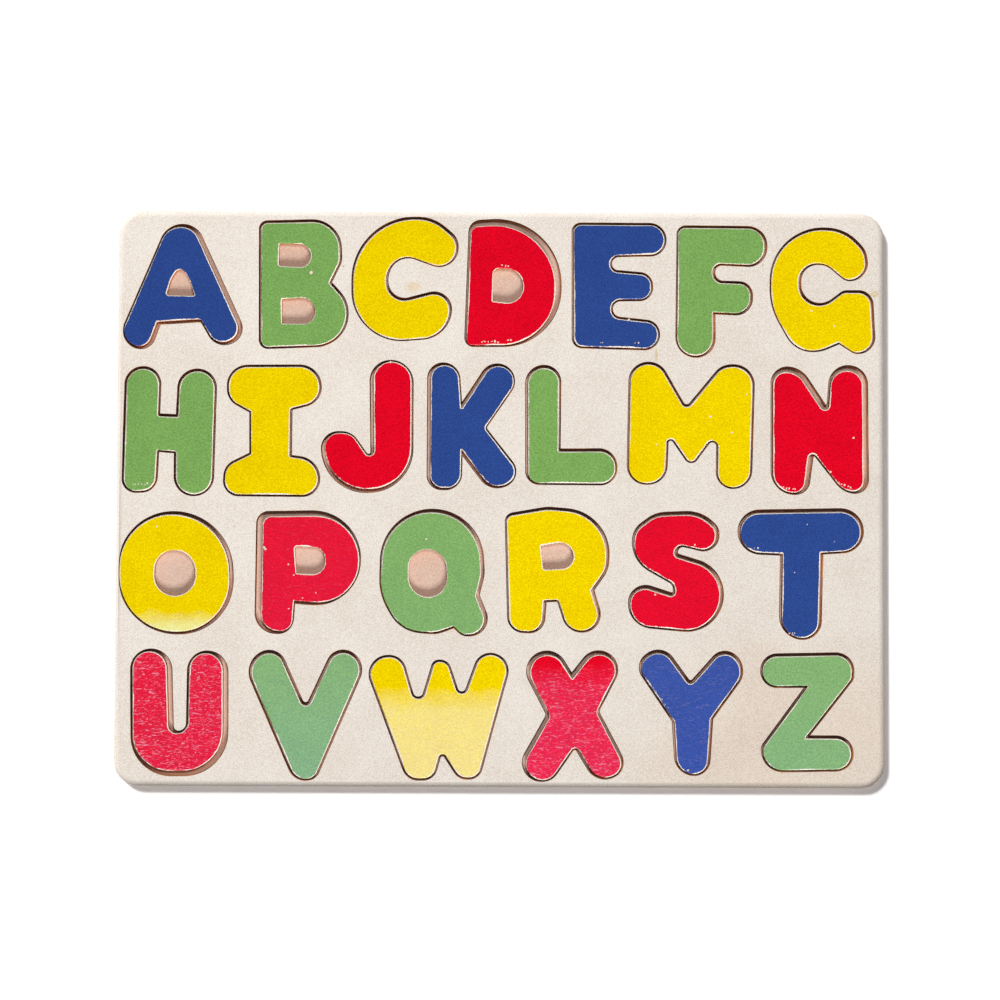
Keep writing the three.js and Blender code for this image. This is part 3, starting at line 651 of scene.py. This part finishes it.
# strokes of chips on each letter: start, end (mm from the tray's lower left corner), how many and their radius
chipLook = {
    "colour": "#f2dfcf", "roughness": 0.8, "shine": 0.2,
    "sides": 8, "thickness": 0.02, "stretch": (0.5, 1.2), "turn": (0, 6.283),
    "raggedness": 0.75, "tearSize": 0.5, "tearReach": 2,
    "seed": 7, "strayed": 0.25, "sizes": (0.6, 1.2),
    "strokes": {
        "letter_b": [(100.8, 267.2, 100.8, 267.2, 1, 0.8)],
        "letter_d": [(190, 231.4, 198.5, 231.4, 6, 0.5), (204, 232.2, 205, 232.4, 2, 0.5),
                     (201, 271.6, 203.5, 271.2, 3, 0.5)],
        "letter_e": [(266.5, 243.2, 266.5, 243.2, 1, 0.5), (252, 231, 253, 231, 2, 0.4),
                     (270, 230.9, 272, 230.9, 2, 0.4)],
        "letter_g": [(361.7, 248.2, 361.7, 248.2, 1, 0.6), (373.5, 240.3, 373.5, 240.3, 1, 0.5)],
        "letter_h": [(4.9, 176.7, 4.9, 178, 2, 0.5), (9, 156.6, 18, 156.6, 7, 0.45)],
        "letter_j": [(142.5, 220.5, 142.5, 220.5, 1, 0.6)],
        "letter_m": [(309, 192.8, 309, 192.8, 1, 0.6), (320.3, 184.4, 320.3, 184.4, 1, 0.5),
                     (328, 204.3, 328, 204.3, 1, 0.5), (281.2, 178, 281.2, 178, 1, 0.5)],
        "letter_n": [(383.5, 181.8, 383.5, 181.8, 1, 0.5), (345.5, 156.4, 353, 155, 6, 0.5),
                     (376, 158.4, 382, 156, 5, 0.5), (371.5, 164, 371.5, 164, 1, 0.5)],
        "letter_o": [(21.5, 134.5, 21.5, 134.5, 1, 0.5)],
        "letter_p": [(77.8, 123.5, 77.8, 122, 3, 0.6), (93, 109.6, 93, 109.6, 1, 0.7),
                     (90, 115, 90, 115, 1, 0.4), (90.5, 92.2, 90.5, 92.2, 1, 0.4),
                     (104.5, 100.3, 104.5, 100.3, 1, 0.4), (97.5, 97.5, 97.5, 97.5, 1, 0.4)],
        "letter_q": [(161.5, 128.3, 161.5, 128.3, 1, 0.5)],
        "letter_s": [(280.5, 100, 280.5, 100, 1, 0.5), (301, 126, 301, 126, 1, 0.5)],
        "letter_t": [(359.5, 136.8, 359.5, 136.8, 1, 0.3), (352.7, 111.7, 352.7, 111.7, 1, 0.3),
                     (373.5, 127.8, 373.5, 127.8, 1, 0.3), (332, 124.4, 334, 124.2, 2, 0.35),
                     (350, 80.4, 353, 80.2, 3, 0.35)],
        "letter_y": [(277.6, 54, 287, 41.4, 7, 0.4), (297.5, 9.4, 297.5, 9.4, 1, 0.5)],
    },
}

# bare birch where the paint has chipped off: pale, dry and almost without shine
chipMaterial, chipShading = startMaterial("bareBirchChip")
chipShader = addNode(chipShading, "ShaderNodeBsdfPrincipled", {
    "Base Color": linear(chipLook["colour"]), "Roughness": chipLook["roughness"],
    "Specular IOR Level": chipLook["shine"]})
addNode(chipShading, "ShaderNodeOutputMaterial", {"Surface": chipShader.outputs[0]})

chipInputs = {
    "Sides": ("Int", chipLook["sides"]), "Thickness": ("Float", chipLook["thickness"] * mm),
    "Raggedness": ("Float", chipLook["raggedness"]), "Seed": ("Int", chipLook["seed"]),
    "Material": ("Material", chipMaterial),
}
chipTree = bpy.data.node_groups.new("paintChips", "GeometryNodeTree")
chipTree.is_modifier = True
chipTree.interface.new_socket("Geometry", in_out="INPUT", socket_type="NodeSocketGeometry")
chipSockets = {}
for label, (kind, value) in chipInputs.items():
    socket = chipTree.interface.new_socket(label, in_out="INPUT", socket_type="NodeSocket" + kind)
    chipSockets[label] = socket.identifier
chipTree.interface.new_socket("Geometry", in_out="OUTPUT", socket_type="NodeSocketGeometry")

# a flat flake on each point, stretched and turned at random, then torn at its edge
given = addNode(chipTree, "NodeGroupInput").outputs
flake = addNode(chipTree, "GeometryNodeMeshCylinder", {
    "Vertices": given["Sides"], "Radius": mm, "Depth": given["Thickness"]})
chipRadius = addNode(chipTree, "GeometryNodeInputNamedAttribute", {"Name": "radius"},
                     data_type="FLOAT").outputs["Attribute"]
stretch = addNode(chipTree, "FunctionNodeRandomValue", {
    2: chipLook["stretch"][0], 3: chipLook["stretch"][1], "Seed": given["Seed"]},
    data_type="FLOAT").outputs[1]
chipWidth = addNode(chipTree, "ShaderNodeMath", {0: chipRadius, 1: stretch}, operation="MULTIPLY").outputs[0]
chipTurn = addNode(chipTree, "FunctionNodeRandomValue", {
    2: chipLook["turn"][0], 3: chipLook["turn"][1], "Seed": given["Seed"]}, data_type="FLOAT").outputs[1]
flakes = addNode(chipTree, "GeometryNodeInstanceOnPoints", {
    "Points": given["Geometry"], "Instance": flake.outputs["Mesh"],
    "Rotation": addNode(chipTree, "ShaderNodeCombineXYZ", {"Z": chipTurn}).outputs[0],
    "Scale": addNode(chipTree, "ShaderNodeCombineXYZ", {"X": chipRadius, "Y": chipWidth, "Z": 1}).outputs[0]})
realized = addNode(chipTree, "GeometryNodeRealizeInstances", {"Geometry": flakes.outputs[0]})
position = addNode(chipTree, "GeometryNodeInputPosition").outputs[0]
flattened = addNode(chipTree, "ShaderNodeVectorMath", {0: position, 1: (1, 1, 0)}, operation="MULTIPLY")
tear = addNode(chipTree, "ShaderNodeTexNoise", {
    "Vector": flattened.outputs[0], "Scale": patternScale(chipLook["tearSize"])})
swing = addNode(chipTree, "ShaderNodeVectorMath", {0: tear.outputs["Color"], 1: (0.5, 0.5, 0.5)},
                operation="SUBTRACT")
tearReach = chipLook["tearReach"] * mm
tearOffset = addNode(chipTree, "ShaderNodeVectorMath", {0: swing.outputs[0], 1: (tearReach, tearReach, 0)},
                     operation="MULTIPLY")
ragged = addNode(chipTree, "ShaderNodeVectorMath", {0: tearOffset.outputs[0], "Scale": given["Raggedness"]},
                 operation="SCALE")
torn = addNode(chipTree, "GeometryNodeSetPosition", {
    "Geometry": realized.outputs[0], "Offset": ragged.outputs[0]})
bareFlakes = addNode(chipTree, "GeometryNodeSetMaterial", {
    "Geometry": torn.outputs[0], "Material": given["Material"]})
addNode(chipTree, "NodeGroupOutput", {"Geometry": bareFlakes.outputs[0]})

# a chip by itself has its own place and size, and those of a stroke stray a little
scatter = np.random.default_rng(chipLook["seed"])
chipPieces = []
for name, strokes in chipLook["strokes"].items():
    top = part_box(name)[1].z - (letterLook["paintSink"] - chipLook["thickness"] / 2) * mm
    places, radii = [], []
    for x0, y0, x1, y1, count, size in strokes:
        for i in range(count):
            along = i / max(1, count - 1)
            jitter = scatter.normal(0, chipLook["strayed"] if count > 1 else 0, 2)
            x, y = x0 + (x1 - x0) * along + jitter[0], y0 + (y1 - y0) * along + jitter[1]
            places.append((x * mm + cadBox[0][0], y * mm + cadBox[0][1], top))
            radii.append(size * (scatter.uniform(*chipLook["sizes"]) if count > 1 else 1))
    points = bpy.data.meshes.new(name + "_chip_points")
    points.from_pydata(places, [], [])
    points.attributes.new("radius", "FLOAT", "POINT").data.foreach_set("value", radii)
    grower = addObject(name + "_chip_points", points)
    chips = grower.modifiers.new("chips", "NODES")
    chips.node_group = chipTree
    for label, (kind, value) in chipInputs.items():
        chips[chipSockets[label]] = value
    chipMesh = appliedMesh(grower)
    bpy.data.objects.remove(grower)
    piece = addObject(name + "_chips", chipMesh)
    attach(piece, name)
    chipPieces.append(piece)
print("paint chips made on", len(chipPieces), "letters")

# metres: the paper is lit near the tray, and plain white to the eye from whiteFrom to whiteTo and beyond
stageLook = {"white": "#ffffff", "floorHalf": 6, "floorLift": 0.16, "whiteFrom": 0.4, "whiteTo": 1.2,
             "skyLight": 0.13}


# 1 for what the camera sees straight on, in a shine or through a clear piece, and 0 for light on the object
def backgroundRays(tree):
    path = addNode(tree, "ShaderNodeLightPath").outputs
    seen = addNode(tree, "ShaderNodeMath", {0: path["Is Camera Ray"], 1: path["Is Glossy Ray"]},
                   operation="ADD")
    return addNode(tree, "ShaderNodeMath", {0: seen.outputs[0], 1: path["Is Transmission Ray"]},
                   operation="ADD", use_clamp=True).outputs[0]


# white paper sweep: matt, keeps the tray's shadow and melts into the white behind it
floorMaterial, floorShading = startMaterial("whitePaperSweep")
floorCoords = addNode(floorShading, "ShaderNodeTexCoord").outputs["Object"]
distance = addNode(floorShading, "ShaderNodeVectorMath", {0: floorCoords}, operation="LENGTH")
whiten = addNode(floorShading, "ShaderNodeMapRange", {
    "Value": distance.outputs["Value"], "From Min": stageLook["whiteFrom"], "From Max": stageLook["whiteTo"],
    "To Min": stageLook["floorLift"], "To Max": 1})
lift = addNode(floorShading, "ShaderNodeMath", {0: backgroundRays(floorShading), 1: whiten.outputs[0]},
               operation="MULTIPLY")
paper = addNode(floorShading, "ShaderNodeBsdfDiffuse", {"Color": linear(stageLook["white"])})
glow = addNode(floorShading, "ShaderNodeEmission", {
    "Color": linear(stageLook["white"]), "Strength": lift.outputs[0]})
litPaper = addNode(floorShading, "ShaderNodeAddShader", {0: paper.outputs[0], 1: glow.outputs[0]})
addNode(floorShading, "ShaderNodeOutputMaterial", {"Surface": litPaper.outputs[0]})
floorMesh = bpy.data.meshes.new("floor")
half = stageLook["floorHalf"]
floorCorners = [(-half, -half, 0), (half, -half, 0), (half, half, 0), (-half, half, 0)]
floorMesh.from_pydata(floorCorners, [], [(0, 1, 2, 3)])
floorMesh.materials.append(floorMaterial)
floor = addObject("floor", floorMesh)

scene = bpy.context.scene
scene.view_settings.view_transform = "Standard"
world = bpy.data.worlds.new("studio")
world.use_nodes = True
world.node_tree.nodes.clear()
skyStrength = addNode(world.node_tree, "ShaderNodeMapRange", {
    "Value": backgroundRays(world.node_tree), "To Min": stageLook["skyLight"], "To Max": 1})
sky = addNode(world.node_tree, "ShaderNodeBackground", {
    "Color": linear(stageLook["white"]), "Strength": skyStrength.outputs[0]})
addNode(world.node_tree, "ShaderNodeOutputWorld", {"Surface": sky.outputs[0]})
scene.world = world

# The tray's shadow falls to the lower right, and the shadows in the recesses fall up the page.
# So the key and the fill light the letters and recess floors, and the ceiling lights the face and the paper.
# The window is a blue card that shows only in the shine of the paint.
lampLook = {
    "key": {"place": (0.5, -2.15, 2.2), "aim": (0, 0, 0), "size": (1.1, 1.0), "power": 80,
            "colour": "#ffffff"},
    "fill": {"place": (0.12, 0.4, 1.5), "aim": (0, 0, 0), "size": (0.2, 0.2), "power": 8.2,
             "colour": "#ffffff"},
    "window": {"place": (0, -0.66, 1.1), "aim": (0, -0.66, 0), "size": (1.0, 1.0), "power": 14.5,
               "colour": "#2748ff"},
    "ceiling": {"place": (-3.3, 4.05, 6.6), "aim": (0, 0, 0), "size": (1.5, 1.5), "power": 800,
                "colour": "#ffffff"},
}
inRecesses = [backing] + letterPieces + chipPieces
litBy = {"key": inRecesses, "fill": inRecesses, "window": inRecesses, "ceiling": [face, floor]}
lamps = {}
for name, look in lampLook.items():
    light = bpy.data.lights.new(name, "AREA")
    light.shape = "RECTANGLE"
    light.size, light.size_y = look["size"]
    light.energy = look["power"]
    light.color = linear(look["colour"])[:3]
    lamp = addObject(name, light)
    lamp.location = look["place"]
    beam = Vector(look["aim"]) - Vector(look["place"])
    lamp.rotation_euler = beam.to_track_quat("-Z", "Y").to_euler()
    group = bpy.data.collections.new(name + "Lit")
    for member in litBy[name]:
        group.objects.link(member)
    lamp.light_linking.receiver_collection = group
    lamps[name] = lamp
lamps["window"].visible_diffuse = False
lamps["fill"].visible_glossy = False
print("stage lit by", len(lamps), "lamps")

# almost straight above, a little towards the tray's lower edge
cameraLook = {"place": (-0.00155, -0.0486, 1.23465), "turn": (0.03879, -0.00127, 0.00368),
              "lens": 85, "sensor": 36}
camera = bpy.data.cameras.new("camera")
camera.lens = cameraLook["lens"]
camera.sensor_width = cameraLook["sensor"]
cameraObject = addObject("camera", camera)
cameraObject.location = cameraLook["place"]
cameraObject.rotation_euler = Euler(cameraLook["turn"], "XYZ")
scene.camera = cameraObject
